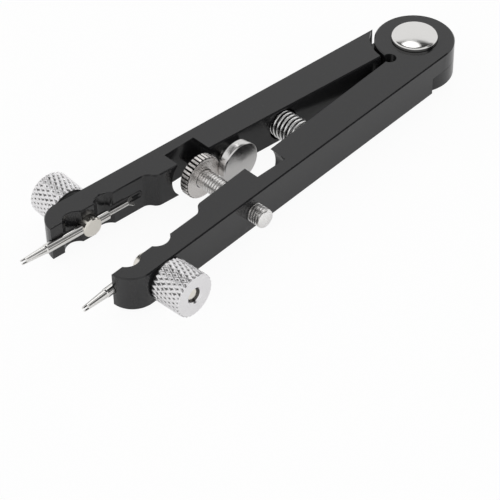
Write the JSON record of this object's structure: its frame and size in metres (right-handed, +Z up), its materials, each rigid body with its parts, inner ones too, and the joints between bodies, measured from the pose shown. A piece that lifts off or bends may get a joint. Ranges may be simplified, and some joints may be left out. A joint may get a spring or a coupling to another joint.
{
  "type": "watch spring bar pliers",
  "caption": "Black two-arm pliers with a lap pivot, an opening coil spring, stop screws and a screw-clamped fork tip on each nose, for watch spring bars.",
  "frame": {"origin": "on the pivot axis at the arms' underside", "axes": "+Z up along the pivot axis, tips towards -Y, right arm on +X; rest pose is fully open on its stop"},
  "size_m": [0.0528, 0.1346, 0.0126],
  "materials": {
    "black_body": "gloss black anodised or baked enamel",
    "bright_hardware": "bright nickel plate, turned and polished",
    "knurled_nickel": "nickel plated diamond knurl with a faced end",
    "spring_steel": "bright drawn spring wire",
    "tip_steel": "hardened and polished steel",
    "black_washer": "blackened steel",
    "brass_bush": "turned brass",
    "steel_inner": "plain steel"
  },
  "bodies": {
    "right_arm": {"right_arm": "black_body", "pivot_screw": "bright_hardware", "pivot_nut": "bright_hardware", "pivot_washer": "steel_inner", "opening_spring": "spring_steel", "right_clamp_washer": "black_washer", "right_clamp_spring": "spring_steel"},
    "left_arm": {"left_arm": "black_body", "pivot_bush": "brass_bush", "left_clamp_washer": "black_washer", "left_clamp_spring": "spring_steel"},
    "wheel_stud": {"wheel_stud": "bright_hardware"},
    "knurled_wheel": {"knurled_wheel": "bright_hardware"},
    "disc_stud": {"disc_stud": "bright_hardware"},
    "smooth_disc": {"smooth_disc": "bright_hardware"},
    "right_clamp_stud": {"right_clamp_stud": "bright_hardware"},
    "left_clamp_stud": {"left_clamp_stud": "bright_hardware"},
    "right_thumb_nut": {"right_thumb_nut": "knurled_nickel"},
    "left_thumb_nut": {"left_thumb_nut": "knurled_nickel"},
    "right_tip": {"right_tip": "tip_steel"},
    "left_tip": {"left_tip": "tip_steel"}
  },
  "joints": [
    {"name": "arm_pivot", "type": "hinge", "parent": "right_arm", "child": "left_arm", "pos_m": [0, 0, 0.005], "axis": [0, 0, 1], "range_deg": [0, 3.8], "stiffness_Nm_per_rad": 2.98, "springref_deg": -8.59, "deforming": ["opening_spring"]},
    {"name": "wheel_advance", "type": "slide", "parent": "right_arm", "child": "wheel_stud", "axis": [-1, 0, 0], "range_m": [0, 0.0008]},
    {"name": "wheel_turn", "type": "hinge", "parent": "wheel_stud", "child": "knurled_wheel", "pos_m": [0, -0.073, 0.005], "axis": [-1, 0, 0], "range_deg": [0, 360]},
    {"name": "disc_advance", "type": "slide", "parent": "left_arm", "child": "disc_stud", "axis": [1, 0, 0], "range_m": [0, 0.0024]},
    {"name": "disc_turn", "type": "hinge", "parent": "disc_stud", "child": "smooth_disc", "pos_m": [0, -0.0627, 0.005], "axis": [1, 0, 0], "range_deg": [0, 1080]},
    {"name": "right_clamp_draw", "type": "slide", "parent": "right_arm", "child": "right_clamp_stud", "axis": [-0.9982, -0.0606, 0], "range_m": [0, 0.0008], "deforming": ["right_clamp_spring"]},
    {"name": "right_nut_turn", "type": "hinge", "parent": "right_arm", "child": "right_thumb_nut", "pos_m": [0.0213, -0.1033, 0.005], "axis": [0.9982, 0.0606, 0], "range_deg": [0, 576]},
    {"name": "right_tip_pull", "type": "slide", "parent": "right_clamp_stud", "child": "right_tip", "axis": [0.0606, -0.9982, 0], "range_m": [0, 0.012]},
    {"name": "left_clamp_draw", "type": "slide", "parent": "left_arm", "child": "left_clamp_stud", "axis": [0.9982, -0.0606, 0], "range_m": [0, 0.0008], "deforming": ["left_clamp_spring"]},
    {"name": "left_nut_turn", "type": "hinge", "parent": "left_arm", "child": "left_thumb_nut", "pos_m": [-0.0213, -0.1033, 0.005], "axis": [-0.9982, 0.0606, 0], "range_deg": [0, 576]},
    {"name": "left_tip_pull", "type": "slide", "parent": "left_clamp_stud", "child": "left_tip", "axis": [-0.0606, -0.9982, 0], "range_m": [0, 0.012]}
  ],
  "couplings": [
    {"joint": "wheel_turn", "follows": "wheel_advance", "rad_per_m": 7854},
    {"joint": "disc_turn", "follows": "disc_advance", "rad_per_m": 7854},
    {"joint": "right_nut_turn", "follows": "right_clamp_draw", "rad_per_m": 12566},
    {"joint": "left_nut_turn", "follows": "left_clamp_draw", "rad_per_m": 12566}
  ]
}
